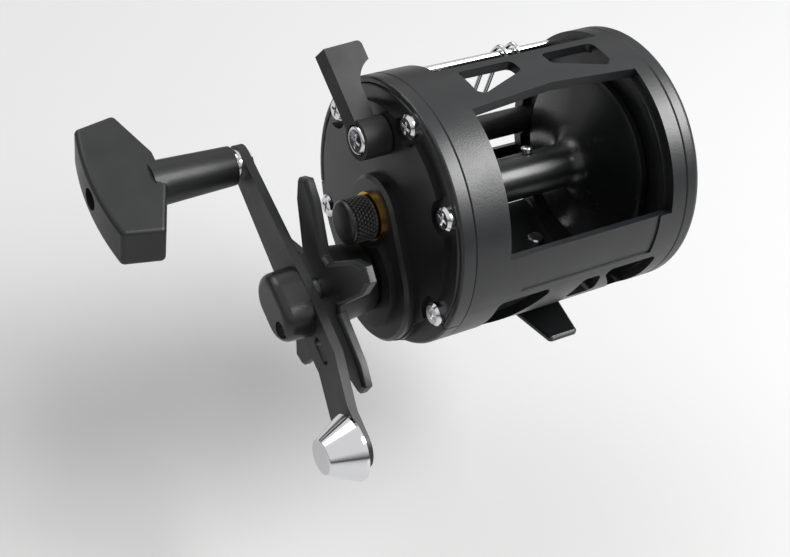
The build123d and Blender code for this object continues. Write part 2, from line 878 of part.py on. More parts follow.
tabY = leverPivot[0]
with BuildPart() as yoke:
    with BuildSketch(yz(-32.2)):
        with Locations((0, spoolZ + 1.8)):
            RectangleRounded(25.0, 6.8, 2.4)
        with Locations((tabY, spoolZ + 6.2)):
            Rectangle(3.0, 5.0)
        with Locations(axis):
            Circle(3.1, mode=Mode.SUBTRACT)
        with Locations((0, spoolZ - 3)):
            Rectangle(6.2, 6.0, mode=Mode.SUBTRACT)
        with Locations((-postY, spoolZ), (postY, spoolZ)):
            Circle(1.26, mode=Mode.SUBTRACT)
    extrude(amount=1.2)
    # raised tab that the cam's ramp lifts
    with BuildSketch(yz(-34.4)):
        with Locations((tabY, spoolZ + 8.1)):
            Rectangle(3.0, 1.2)
    extrude(amount=2.4)
    with BuildSketch(yz(-34.4)):
        with Locations((tabY, spoolZ + 11.1)):
            Rectangle(3.0, 7.0)
    extrude(amount=1.2)
save(yoke, "clutch_yoke")

springTop = -37.5
with BuildPart() as yoke_springs:
    for y in (-9.8, 9.8):
        with BuildLine() as coil:
            Helix(pitch=0.86, height=2.58, radius=1.75, center=(spoolX + springTop + 0.35, y, spoolZ),
                  direction=(1, 0, 0))
        with BuildSketch(Plane(coil.line @ 0, z_dir=coil.line % 0)):
            Circle(0.28)
        sweep(path=coil.line, is_frenet=True)
save(yoke_springs, "yoke_springs")

# ---------------------------------------------------------------- clutch lever
leverAngle = 37.7     # direction of the lever from its pivot
leverIn = -42.8
leverOut = -50.2
leverPlane = Plane(
    origin=(spoolX, leverPivot[0], leverPivot[1]),
    x_dir=(0, cos(radians(leverAngle)), sin(radians(leverAngle))),
    z_dir=(0, -sin(radians(leverAngle)), cos(radians(leverAngle))),
)
# in this plane the local axes are the lever's length and minus X

with BuildPart() as clutch_lever:
    with BuildSketch(leverPlane.offset(-2.9)):
        with BuildLine():
            Polyline(
                (0, -leverOut),
                (24.0, -leverOut + 2.1),
                (24.6, 41.4),
                (19.2, 40.9),
            )
            ThreePointArc((19.2, 40.9), (16.6, 44.0), (12.6, 45.3))
            Polyline((12.6, 45.3), (0, 44.4), (0, -leverOut))
        make_face()
        fillet(vertices().sort_by(Axis.X)[-1:], 1.4)
    extrude(amount=5.8)
    with BuildSketch(yz(leverOut)):
        with Locations(leverPivot):
            Circle(5.3)
    extrude(amount=leverIn - leverOut)
    with BuildSketch(yz(leverOut - 1.2)):
        with Locations(leverPivot):
            Circle(4.1)
    extrude(amount=2.6, mode=Mode.SUBTRACT)
    with BuildSketch(yz(leverOut)):
        with Locations(leverPivot):
            Circle(1.6)
    extrude(amount=10, mode=Mode.SUBTRACT)
save(clutch_lever, "clutch_lever")

with BuildPart() as lever_screw:
    with BuildSketch(yz(leverOut - 0.5)):
        with Locations(leverPivot):
            Circle(3.9)
    extrude(amount=1.9)
    fillet(lever_screw.edges().group_by(Axis.X)[0], 0.9)
    with BuildSketch(yz(leverOut + 1.4)):
        with Locations(leverPivot):
            Circle(1.55)
    extrude(amount=11.5)
    with BuildSketch(yz(leverOut - 0.5)):
        with Locations(leverPivot):
            Rectangle(4.4, 0.9)
            Rectangle(0.9, 4.4)
    extrude(amount=1.0, mode=Mode.SUBTRACT)
save(lever_screw, "clutch_lever_screw")

rampSteps = 5
rampTurn = 9.0
with BuildPart() as clutch_cam:
    with BuildSketch(yz(leverIn)):
        with Locations(leverPivot):
            Circle(3.44)
    extrude(amount=-30.8 - leverIn)
    for index in range(rampSteps):
        # each step of the ramp stands higher over the plate than the one before
        start = 260 - rampTurn * index
        with BuildSketch(yz(-30.8)):
            with BuildLine():
                Polyline(
                    leverPivot,
                    polar(leverPivot, 12.6, start),
                    polar(leverPivot, 12.6, start - rampTurn),
                    close=True,
                )
            make_face()
        extrude(amount=-0.9)
        with BuildSketch(yz(-31.7)):
            with BuildLine():
                Polyline(
                    polar(leverPivot, 8.6, start),
                    polar(leverPivot, 12.6, start),
                    polar(leverPivot, 12.6, start - rampTurn),
                    polar(leverPivot, 8.6, start - rampTurn),
                    close=True,
                )
            make_face()
        extrude(amount=-0.5 * (index + 1))
    with BuildSketch(yz(leverIn)):
        with Locations(leverPivot):
            Circle(1.55)
    extrude(amount=6.0, mode=Mode.SUBTRACT)
save(clutch_cam, "clutch_cam")

# ---------------------------------------------------------------- anti-reverse dog
with BuildPart() as dog:
    with BuildSketch(yz(-32.0)):
        with Locations(dogPivot):
            Circle(1.9)
        with Locations(polar(drive, 7.95, 222)):
            Circle(0.6)
        make_hull()
        with Locations(dogPivot):
            Circle(1.06, mode=Mode.SUBTRACT)
    extrude(amount=1.0)
save(dog, "anti_reverse_dog")

with BuildPart() as dog_pin:
    with BuildSketch(yz(-32.4)):
        with Locations(dogPivot):
            Circle(1.0)
    extrude(amount=4.6)
    with BuildSketch(yz(-32.4)):
        with Locations(dogPivot):
            Circle(1.7)
    extrude(amount=-0.35)
save(dog_pin, "dog_pin")

# ---------------------------------------------------------------- star drag
starFace = -58.6      # inner face of the star's arms
starBack = -61.4
starPhase = 62.0
starTip = 30.0
with BuildPart() as drag_sleeve:
    with BuildSketch(yz(-56.4)):
        with Locations(drive):
            Circle(4.5)
            Circle(3.05, mode=Mode.SUBTRACT)
    extrude(amount=56.4 - 38.2)
save(drag_sleeve, "drag_sleeve")

with BuildPart() as spring_washers:
    for index in range(2):
        with BuildSketch(yz(-57.5 + index * 0.55)):
            with Locations(drive):
                Circle(5.4)
                Circle(3.05, mode=Mode.SUBTRACT)
        extrude(amount=0.5)
save(spring_washers, "drag_spring_washers")

with BuildPart() as star_drag:
    with BuildSketch(yz(-47.8)):
        with Locations(drive):
            Circle(9.4)
    extrude(amount=starFace + 47.8 - 1.2, taper=-7)
    with BuildSketch(yz(starFace)):
        with Locations(drive):
            Circle(11.4)
        with BuildLine():
            star = []
            for index in range(5):
                angle = starPhase + 72 * index
                star.append(polar(drive, 10.5, angle - 33))
                star.append(polar(drive, 24.6, angle - 10.6))
                star.append(polar(drive, starTip, angle - 4.2))
                star.append(polar(drive, starTip, angle + 4.2))
                star.append(polar(drive, 24.6, angle + 10.6))
                star.append(polar(drive, 10.5, angle + 33))
            Polyline(star, close=True)
        make_face()
    extrude(amount=starBack - starFace)
    chamfer(star_drag.faces().sort_by(Axis.X)[0].outer_wire().edges(), 0.8)
    with BuildSketch(yz(-47.8)):
        with Locations(drive):
            Circle(5.6)
    extrude(amount=-9.8, mode=Mode.SUBTRACT)
    with BuildSketch(yz(-47.8)):
        with Locations(drive):
            Circle(3.06)
    extrude(amount=-20, mode=Mode.SUBTRACT)
save(star_drag, "star_drag")

# ---------------------------------------------------------------- crank
def crankPlane(x):
    """Plane across the reel at station x, with its local x axis along the crank arm."""
    along = (0, cos(radians(crankAngle)), sin(radians(crankAngle)))
    return Plane(origin=(spoolX + x, driveY, driveZ), x_dir=along, z_dir=(1, 0, 0))


armTilt = 3.0         # how far the weight end bends away from the reel
armSide = Plane(
    origin=(spoolX, driveY, driveZ),
    x_dir=(0, cos(radians(crankAngle)), sin(radians(crankAngle))),
    z_dir=(0, sin(radians(crankAngle)), -cos(radians(crankAngle))),
)
knobCentre = polar(drive, knobReach, crankAngle)
weightCentre = polar(drive, -weightReach, crankAngle)

with BuildPart() as crank_arm:
    with BuildSketch(armSide.offset(-12)):
        with BuildLine():
            Polyline(
                (knobReach + 6, armIn),
                (-20, armIn),
                (-weightReach + 7, armIn - armTilt),
                (-weightReach - 8, armIn - armTilt),
                (-weightReach - 8, armOut - armTilt),
                (-weightReach + 7, armOut - armTilt),
                (-20, armOut),
                (knobReach + 6, armOut),
                close=True,
            )
        make_face()
    extrude(amount=24)
    with BuildSketch(crankPlane(armOut - armTilt - 1)):
        with BuildLine():
            Polyline(
                (knobReach + 1, 4.6),
                (0, 7.4),
                (-weightReach, 6.3),
                (-weightReach, -6.3),
                (0, -7.4),
                (knobReach + 1, -4.6),
                close=True,
            )
        make_face()
        with Locations((knobReach + 0.6, 0)):
            Circle(4.6)
        with Locations((-weightReach, 0)):
            Circle(6.3)
    extrude(amount=12, mode=Mode.INTERSECT)
    chamfer(crank_arm.faces().sort_by(Axis.X)[0].outer_wire().edges(), 0.4)
    with BuildSketch(crankPlane(armOut - armTilt - 1)):
        Circle(3.0)
        with Locations((-16.6, 0)):
            SlotCenterToCenter(4.2, 3.6)
        with Locations((knobReach, 0)):
            Circle(2.0)
        with Locations((-weightReach, 0)):
            Circle(2.0)
    extrude(amount=12, mode=Mode.SUBTRACT)
save(crank_arm, "crank_arm")

with BuildPart() as handle_nut:
    with BuildSketch(yz(armOut)):
        with Locations(drive):
            RegularPolygon(5.6, 6)
            Circle(3.0, mode=Mode.SUBTRACT)
    extrude(amount=-3.0)
    chamfer(handle_nut.edges().group_by(Axis.X)[0], 0.4)
save(handle_nut, "handle_nut")

capEnd = armOut - 8.2
with BuildPart() as hub_cap:
    with BuildSketch(crankPlane(armOut)):
        with Locations((-1.9, 0)):
            SlotOverall(19.6, 14.4)
    extrude(amount=-8.2, taper=4)
    fillet(hub_cap.edges().group_by(Axis.X)[0], 2.6)
    with BuildSketch(crankPlane(armOut)):
        Circle(5.9)
    extrude(amount=-4.2, mode=Mode.SUBTRACT)
    with BuildSketch(crankPlane(capEnd - 1)):
        with Locations((-8.0, 0)):
            Circle(2.4)
    extrude(amount=4.0, mode=Mode.SUBTRACT)
    with BuildSketch(crankPlane(capEnd - 1)):
        with Locations((-8.0, 0)):
            Circle(1.1)
    extrude(amount=12.0, mode=Mode.SUBTRACT)
save(hub_cap, "hub_cap")

with BuildPart() as cap_screw:
    with BuildSketch(crankPlane(capEnd + 1.4)):
        with Locations((-8.0, 0)):
            Circle(2.2)
    extrude(amount=1.6)
    with BuildSketch(crankPlane(capEnd + 3.0)):
        with Locations((-8.0, 0)):
            Circle(1.05)
    extrude(amount=5.2)
    with BuildSketch(crankPlane(capEnd + 1.4)):
        with Locations((-8.0, 0)):
            Rectangle(2.8, 0.6)
            Rectangle(0.6, 2.8)
    extrude(amount=0.8, mode=Mode.SUBTRACT)
save(cap_screw, "hub_cap_screw")

weightFace = armOut - armTilt
with BuildPart() as counterweight:
    with BuildSketch(crankPlane(weightFace)):
        with Locations((-weightReach, 0)):
            Circle(8.9)
    extrude(amount=-0.8)
    with BuildSketch(crankPlane(weightFace - 0.8)):
        with Locations((-weightReach, 0)):
            Circle(8.9)
    with BuildSketch(crankPlane(weightFace - 9.0)):
        with Locations((-weightReach, 0)):
            Circle(4.6)
    loft()
    fillet(counterweight.edges().group_by(Axis.X)[0], 0.5)
    with BuildSketch(crankPlane(weightFace)):
        with Locations((-weightReach, 0)):
            Circle(1.95)
    extrude(amount=3.6)
save(counterweight, "counterweight")

# ---------------------------------------------------------------- handle knob
with BuildPart() as spindle:
    with BuildSketch(yz(armIn + 0.1)):
        with Locations(knobCentre):
            Circle(3.4)
    extrude(amount=0.9)
    with BuildSketch(yz(armIn + 0.1)):
        with Locations(knobCentre):
            Circle(1.95)
    extrude(amount=-(105 + armIn + 0.1))
    with BuildSketch(yz(-105)):
        with Locations(knobCentre):
            Circle(2.9)
    extrude(amount=-1.2)
save(spindle, "knob_spindle")

with BuildPart() as knob_washers:
    with BuildSketch(yz(armOut)):
        with Locations(knobCentre):
            Circle(4.4)
            Circle(1.95, mode=Mode.SUBTRACT)
    extrude(amount=-0.8)
    with BuildSketch(yz(armOut - 0.8)):
        with Locations(knobCentre):
            Circle(3.6)
            Circle(1.95, mode=Mode.SUBTRACT)
    extrude(amount=-0.8)
save(knob_washers, "knob_washers")

knobIn = -69.3
knobNeck = -91.0
knobLean = 2.05       # sideways step of the grip's two broad faces
knobPlane = Plane(
    origin=(spoolX, knobCentre[0], knobCentre[1]),
    x_dir=(0, cos(radians(19.6)), sin(radians(19.6))),
    z_dir=(0, -sin(radians(19.6)), cos(radians(19.6))),
)
with BuildPart() as handle_knob:
    with BuildSketch(knobPlane.offset(5.3)):
        with BuildLine():
            Polyline(
                (-17.0 + knobLean, 107.0),
                (-18.9 + knobLean, 95.8),
                (-5.5 + knobLean, 90.0),
                (5.5 + knobLean, 90.0),
                (18.9 + knobLean, 95.8),
                (17.0 + knobLean, 107.0),
            )
            ThreePointArc((17.0 + knobLean, 107.0), (knobLean, 109.2), (-17.0 + knobLean, 107.0))
        make_face()
    leanWay = knobPlane.z_dir * -10.6 + knobPlane.x_dir * (-2 * knobLean)
    extrude(amount=leanWay.length, dir=leanWay.normalized())
    fillet(handle_knob.edges(), 1.5)
    with BuildSketch(yz(knobNeck - 2)):
        with Locations(knobCentre):
            Circle(6.2)
    with BuildSketch(yz(knobIn)):
        with Locations(knobCentre):
            Circle(5.4)
    loft()
    with BuildSketch(yz(knobIn)):
        with Locations(knobCentre):
            Circle(2.0)
    extrude(amount=-(104.9 + knobIn), mode=Mode.SUBTRACT)
    with BuildSketch(yz(-104.9)):
        with Locations(knobCentre):
            Circle(3.0)
    extrude(amount=-6, mode=Mode.SUBTRACT)
save(handle_knob, "handle_knob")

# ---------------------------------------------------------------- level wind
with BuildPart() as worm_tube:
    with BuildSketch(yz(bulkLeftOut + 0.4)):
        with Locations(worm):
            Circle(tubeR)
            Circle(tubeR - 0.8, mode=Mode.SUBTRACT)
    extrude(amount=bulkRightOut - bulkLeftOut - 0.4)
    # slot along the tube for the pawl
    with BuildSketch(yz(-22.5)):
        with Locations((wormY - 4, wormZ - 2.6)):
            Rectangle(6.0, 3.2, rotation=0)
    extrude(amount=45, mode=Mode.SUBTRACT)
save(worm_tube, "worm_tube")

with BuildPart() as worm_shaft:
    with BuildSketch(yz(-27.0)):
        with Locations(worm):
            Circle(1.5)
    extrude(amount=27.0 + 30.9)
    with BuildSketch(yz(-23.0)):
        with Locations(worm):
            Circle(2.7)
    extrude(amount=46.0)
    grooveTurns = 5
    for hand in (False, True):
        with BuildLine() as groove:
            Helix(pitch=44.0 / grooveTurns, height=44.0, radius=2.75, center=(spoolX - 22.0, wormY, wormZ),
                  direction=(1, 0, 0), lefthand=hand)
        with BuildSketch(Plane(groove.line @ 0, z_dir=groove.line % 0)):
            Circle(0.75)
        sweep(path=groove.line, is_frenet=True, mode=Mode.SUBTRACT)
save(worm_shaft, "worm_shaft")

with BuildPart() as worm_bushes:
    for start, length in ((-28.9, 1.8), (24.4, 4.0)):
        with BuildSketch(yz(start)):
            with Locations(worm):
                Circle(tubeR - 0.8)
                Circle(1.56, mode=Mode.SUBTRACT)
        extrude(amount=length)
save(worm_bushes, "worm_bushes")

with BuildPart() as worm_gear:
    with BuildSketch(yz(28.9)):
        with BuildLine():
            Polyline(gearPoints(wormTeeth, windModule, wormAngle + 180, worm), close=True)
        make_face()
        with Locations(worm):
            Circle(1.5, mode=Mode.SUBTRACT)
    extrude(amount=1.9)
save(worm_gear, "worm_gear")

with BuildPart() as idler_gear:
    with BuildSketch(yz(28.9)):
        with BuildLine():
            idlerPhase = wormAngle + 180 + 180 / idlerTeeth
            Polyline(gearPoints(idlerTeeth, windModule, idlerPhase, idler), close=True)
        make_face()
        with Locations(idler):
            Circle(2.05, mode=Mode.SUBTRACT)
    extrude(amount=1.9)
save(idler_gear, "idler_gear")

with BuildPart() as idler_pin:
    with BuildSketch(yz(27.6)):
        with Locations(idler):
            Circle(2.0)
    extrude(amount=3.6)
    with BuildSketch(yz(31.15)):
        with Locations(idler):
            Circle(3.0)
    extrude(amount=0.6)
save(idler_pin, "idler_pin")

with BuildPart() as guide_rod:
    with BuildSketch(yz(-27.0)):
        with Locations((guideY, guideZ)):
            Circle(1.1)
    extrude(amount=54.0)
save(guide_rod, "guide_rod")

carriageX = 2.0
pawlPlace = (spoolX + carriageX, wormY - 2.6)
with BuildPart() as line_carriage:
    with BuildSketch(yz(carriageX - 4.5)):
        with Locations(worm):
            Circle(tubeR + 1.6)
            Circle(tubeR + 0.06, mode=Mode.SUBTRACT)
    extrude(amount=9.0)
    with BuildSketch(yz(carriageX - 2.6)):
        with Locations((wormY - 2.6, wormZ - 5.9)):
            Rectangle(5.0, 4.6)
        with Locations(worm):
            Circle(tubeR + 0.06, mode=Mode.SUBTRACT)
    extrude(amount=5.2)
    with BuildSketch(Plane.XY.offset(wormZ - 9)):
        with Locations(pawlPlace):
            Circle(1.2)
    extrude(amount=8, mode=Mode.SUBTRACT)
save(line_carriage, "line_carriage")

wireLean = 9.0        # the wires lean towards the tail side on their way up
with BuildPart() as guide_wires:
    for side in (-1, 1):
        x = spoolX + carriageX + side * 1.7
        topX = spoolX + carriageX + wireLean + side * 2.1
        with BuildLine() as wire:
            Spline(
                (x, wormY + 0.6, wormZ + tubeR + 1.95),
                (topX - 2.8, wormY + 0.3, guideZ - 7.0),
                (topX, guideY + 2.2, guideZ + 0.4),
                (topX + 0.4, guideY + 0.4, guideZ + 2.2),
                (topX + 0.8, guideY - 1.7, guideZ + 1.4),
                (topX + 1.0, guideY - 2.2, guideZ - 0.6),
            )
        with BuildSketch(Plane(wire.line @ 0, z_dir=wire.line % 0)):
            Circle(0.6)
        sweep(path=wire.line)
save(guide_wires, "line_guide_wires")

with BuildPart() as wind_pawl:
    with BuildSketch(Plane.XY.offset(wormZ - 8.2)):
        with Locations(pawlPlace):
            Circle(1.2)
    extrude(amount=4.6)
save(wind_pawl, "level_wind_pawl")

with BuildPart() as pawl_cap:
    with BuildSketch(Plane.XY.offset(wormZ - 8.2)):
        with Locations(pawlPlace):
            Circle(2.4)
    extrude(amount=-1.4)
save(pawl_cap, "pawl_cap")

# ---------------------------------------------------------------- clicker in the tail plate
clickZ = spoolZ + 15
with BuildPart() as click_button:
    with BuildSketch(yz(32.3)):
        with Locations((0, clickZ)):
            Circle(1.6)
    extrude(amount=5.2)
    with BuildSketch(yz(37.3)):
        with Locations((0, clickZ)):
            Circle(3.6)
    extrude(amount=2.0)
    fillet(click_button.edges().group_by(Axis.X)[-1], 0.8)
save(click_button, "click_button")

with BuildPart() as click_tongue:
    with BuildSketch(yz(31.5)):
        with BuildLine():
            Polyline(
                (-2.2, clickZ + 2.0),
                (2.2, clickZ + 2.0),
                (2.2, clickZ - 5.0),
                (0.5, spoolZ + clickR + 2.4),
                (-0.5, spoolZ + clickR + 2.4),
                (-2.2, clickZ - 5.0),
                close=True,
            )
        make_face()
    extrude(amount=0.8)
save(click_tongue, "click_tongue")
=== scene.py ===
import bmesh
import bpy
import json
import numpy as np
from mathutils import Matrix

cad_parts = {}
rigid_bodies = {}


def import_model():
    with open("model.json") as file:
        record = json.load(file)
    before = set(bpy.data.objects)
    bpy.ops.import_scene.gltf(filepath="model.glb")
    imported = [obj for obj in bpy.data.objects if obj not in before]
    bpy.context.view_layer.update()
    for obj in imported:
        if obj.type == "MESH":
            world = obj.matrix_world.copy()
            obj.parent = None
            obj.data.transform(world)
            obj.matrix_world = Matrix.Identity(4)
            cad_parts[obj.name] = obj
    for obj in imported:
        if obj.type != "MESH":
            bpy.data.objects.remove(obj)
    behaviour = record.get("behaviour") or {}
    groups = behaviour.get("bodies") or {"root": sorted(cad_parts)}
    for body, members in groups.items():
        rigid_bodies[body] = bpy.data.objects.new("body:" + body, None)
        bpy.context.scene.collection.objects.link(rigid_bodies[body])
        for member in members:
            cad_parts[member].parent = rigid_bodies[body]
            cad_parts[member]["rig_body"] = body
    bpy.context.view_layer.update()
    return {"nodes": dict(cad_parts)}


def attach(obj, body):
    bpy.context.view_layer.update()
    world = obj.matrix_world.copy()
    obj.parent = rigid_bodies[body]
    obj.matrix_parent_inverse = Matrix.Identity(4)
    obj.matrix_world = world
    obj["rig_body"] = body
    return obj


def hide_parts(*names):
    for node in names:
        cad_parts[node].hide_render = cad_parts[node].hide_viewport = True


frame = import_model()
nodes = frame["nodes"]
mm = 0.001
print("frame loaded,", len(nodes), "nodes")


# sRGB hex colour to the linear values a shader works in
def hexToLinear(code):
    parts = np.array([int(code[i : i + 2], 16) for i in (1, 3, 5)]) / 255.0
    linear = np.where(parts <= 0.04045, parts / 12.92, ((parts + 0.055) / 1.055) ** 2.4)
    return (*linear.tolist(), 1.0)


# adds one node to a material's tree, with its settings and its incoming links
def addNode(tree, kind, settings=None, links=None):
    node = tree.nodes.new(kind)
    for key, value in (settings or {}).items():
        if key in node.inputs:
            node.inputs[key].default_value = value
        else:
            setattr(node, key, value)
    for key, source in (links or {}).items():
        tree.links.new(source, node.inputs[key])
    return node


# slow changes over about a centimetre: of roughness, and of the base colour
cloudScale = {"drift": 90.0, "shade": 45.0}


# a finish: base shader values, a fine bump of a real grain size, and slow changes of roughness
# and colour
def makeFinish(name, colour, rough, metal=0.0, ior=None, grain=None, drift=0.0, shade=0.0):
    material = bpy.data.materials.new(name)
    material.use_nodes = True
    tree = material.node_tree
    shader = tree.nodes["Principled BSDF"]
    shader.inputs["Base Color"].default_value = hexToLinear(colour)
    shader.inputs["Roughness"].default_value = rough
    shader.inputs["Metallic"].default_value = metal
    if ior is not None:
        shader.inputs["IOR"].default_value = ior
    place = addNode(tree, "ShaderNodeTexCoord").outputs["Object"]
    if drift > 0:
        cloudLook = {"Scale": cloudScale["drift"], "Detail": 3.0}
        cloud = addNode(tree, "ShaderNodeTexNoise", cloudLook, {"Vector": place})
        spread = addNode(
            tree,
            "ShaderNodeMapRange",
            {"From Min": 0.3, "From Max": 0.7, "To Min": rough - drift, "To Max": rough + drift},
            {"Value": cloud.outputs["Fac"]},
        )
        tree.links.new(spread.outputs["Result"], shader.inputs["Roughness"])
    if shade > 0:
        patchLook = {"Scale": cloudScale["shade"], "Detail": 2.0}
        patch = addNode(tree, "ShaderNodeTexNoise", patchLook, {"Vector": place})
        base = np.array(hexToLinear(colour)[:3])
        ramp = addNode(tree, "ShaderNodeValToRGB", {}, {"Fac": patch.outputs["Fac"]})
        ramp.color_ramp.elements[0].position = 0.3
        ramp.color_ramp.elements[1].position = 0.7
        ramp.color_ramp.elements[0].color = (*(base * (1 - shade)).tolist(), 1.0)
        ramp.color_ramp.elements[1].color = (*(base * (1 + shade)).tolist(), 1.0)
        tree.links.new(ramp.outputs["Color"], shader.inputs["Base Color"])
    if grain:
        size, depth = grain
        source = addNode(
            tree, "ShaderNodeTexNoise", {"Scale": 1.0 / (size * mm), "Detail": 2.0}, {"Vector": place}
        )
        bump = addNode(
            tree,
            "ShaderNodeBump",
            {"Strength": 1.0, "Distance": depth * mm},
            {"Height": source.outputs["Fac"]},
        )
        tree.links.new(bump.outputs["Normal"], shader.inputs["Normal"])
    return material


# each finish is named for the stuff it is; the comment says what that gives the eye
finishes = {
    # glass filled nylon, spark eroded mould: dark grey with broad soft light on it
    "mouldedGraphiteNylon": makeFinish(
        "mouldedGraphiteNylon",
        "#121315",
        0.38,
        ior=1.5,
        grain=(0.5, 0.035),
        drift=0.05,
        shade=0.1,
    ),
    # the same nylon in the ring beside the cover, a little smoother
    "ringNylon": makeFinish("ringNylon", "#141517", 0.36, ior=1.5, grain=(0.45, 0.016), drift=0.04),
    # moulded black ABS with a polished tool: near black with clear soft reflections
    "polishedAbs": makeFinish(
        "polishedAbs",
        "#131314",
        0.33,
        ior=1.5,
        grain=(0.8, 0.01),
        drift=0.04,
    ),
    # satin black paint on a zinc casting
    "satinBlackZinc": makeFinish(
        "satinBlackZinc",
        "#0e0f10",
        0.42,
        ior=1.5,
        grain=(0.5, 0.02),
        drift=0.05,
    ),
    # hard rubbery ABS of the grip: satin black, fine even grain
    "gripAbs": makeFinish("gripAbs", "#0c0d0e", 0.42, ior=1.48, grain=(0.4, 0.02), drift=0.05),
    # black anodised aluminium spool, turned: thin circular shine
    "anodisedSpool": makeFinish(
        "anodisedSpool",
        "#0f1011",
        0.3,
        ior=1.5,
        grain=(0.4, 0.01),
        drift=0.04,
    ),
    # painted steel arm
    "paintedArm": makeFinish(
        "paintedArm",
        "#0f1011",
        0.5,
        ior=1.5,
        grain=(0.45, 0.014),
        drift=0.05,
    ),
    # bright chrome plate: mirror of the room
    "chromePlate": makeFinish("chromePlate", "#dcdcde", 0.09, metal=1.0),
    # nickel plated screws: bright, a little soft
    "nickelScrew": makeFinish("nickelScrew", "#c4c4c6", 0.22, metal=1.0, grain=(0.5, 0.006)),
    # plain cut steel inside
    "cutSteel": makeFinish("cutSteel", "#a4a5a8", 0.32, metal=1.0, grain=(0.5, 0.008)),
    # turned brass
    "turnedBrass": makeFinish("turnedBrass", "#c79a4b", 0.24, metal=1.0),
    # white acetal gears and bushes
    "acetal": makeFinish("acetal", "#e4e3dc", 0.4, ior=1.48),
    # carbon fibre brake washers
    "fibreWasher": makeFinish("fibreWasher", "#3a2c20", 0.75, ior=1.5),
    # matt black ABS of the clutch lever: soft spread light, no clear reflection
    "mattAbs": makeFinish("mattAbs", "#0c0c0d", 0.62, ior=1.48, grain=(0.45, 0.02), drift=0.04),
    # painted pressed steel foot
    "footPaint": makeFinish("footPaint", "#121314", 0.32, ior=1.5, grain=(0.5, 0.012), drift=0.05),
}
print("finishes made:", len(finishes))

finishOfNode = {
    "mouldedGraphiteNylon": [
        "frame", "cover_screw_bushes", "tail_plate",
    ],
    "ringNylon": [
        "trim_ring",
    ],
    "mattAbs": [
        "clutch_lever",
    ],
    "polishedAbs": [
        "handle_side_cover", "hub_cap", "cast_control_cap", "line_carriage", "click_button",
        "worm_tube",
    ],
    "satinBlackZinc": [
        "star_drag",
    ],
    "gripAbs": [
        "handle_knob",
    ],
    "anodisedSpool": [
        "spool",
    ],
    "paintedArm": [
        "crank_arm",
    ],
    "chromePlate": [
        "cover_screws", "clutch_lever_screw", "guide_rod", "handle_nut", "counterweight",
        "knob_spindle", "knob_washers", "line_pin", "line_guide_wires", "pawl_cap",
    ],
    "nickelScrew": [
        "tail_plate_screws", "foot_rivets", "hub_cap_screw",
    ],
    "cutSteel": [
        "spool_bearings", "bridge_plate", "bridge_screw", "yoke_posts", "yoke_springs",
        "dog_pin", "idler_pin", "drive_shaft", "drag_metal_washers", "ratchet_wheel",
        "drag_sleeve", "drag_spring_washers", "spool_shaft", "click_wheel", "worm_shaft",
        "level_wind_pawl", "clutch_cam", "anti_reverse_dog", "click_tongue",
    ],
    "turnedBrass": [
        "cap_sleeve", "main_gear", "pinion", "brake_shim",
    ],
    "acetal": [
        "worm_bushes", "drive_bushes", "clutch_yoke", "spool_gear", "idler_gear", "worm_gear",
    ],
    "fibreWasher": [
        "drag_fibre_washers",
    ],
    "footPaint": [
        "reel_foot",
    ],
}
nodeFinish = {node: key for key, group in finishOfNode.items() for node in group}
for name, thing in nodes.items():
    thing.data.materials.clear()
    thing.data.materials.append(finishes[nodeFinish[name]])
print("finishes on every node")


# links a finished piece, gives it its finish and body, and hides the node it stands for
def finishPiece(thing, node, body):
    thing.data.materials.clear()
    thing.data.materials.append(finishes[nodeFinish[node]])
    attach(thing, body)
    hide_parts(node)


# the node's own shape with its edges rounded: the copy's triangles are merged into
# faces, then every edge sharper than the limit gets a narrow round of the given width
def softenNode(node, width, steps=2, limit=32.0):
    source = nodes[node]
    mesh = source.data.copy()
    work = bmesh.new()
    work.from_mesh(mesh)
    bmesh.ops.remove_doubles(work, verts=work.verts, dist=0.002 * mm)
    bmesh.ops.dissolve_limit(
        work, angle_limit=np.radians(0.6), verts=work.verts, edges=work.edges, delimit={"NORMAL"}
    )
    work.to_mesh(mesh)
    work.free()
    mesh.shade_smooth()
    thing = bpy.data.objects.new("soft_" + node, mesh)
    bpy.context.scene.collection.objects.link(thing)
    edge = thing.modifiers.new("edgeRound", "BEVEL")
    edge.width = width * mm
    edge.segments = steps
    edge.limit_method = "ANGLE"
    edge.angle_limit = np.radians(limit)
    edge.harden_normals = True
    edge.miter_outer = "MITER_ARC"
    # large faces keep their own direction, so flat stays flat in the light
    even = thing.modifiers.new("evenShade", "WEIGHTED_NORMAL")
    even.keep_sharp = True
    finishPiece(thing, node, source["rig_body"])
    return thing


edgeWidths = {
    "frame": 0.35,
    "trim_ring": 0.3,
    "handle_side_cover": 0.3,
    "tail_plate": 0.3,
    "star_drag": 0.5,
    "crank_arm": 0.45,
    "clutch_lever": 0.45,
    "reel_foot": 0.25,
    "hub_cap": 0.3,
    "handle_knob": 0.4,
    "spool": 0.25,
}
for node, width in edgeWidths.items():
    softenNode(node, width)
print("edges rounded on", len(edgeWidths), "pieces")



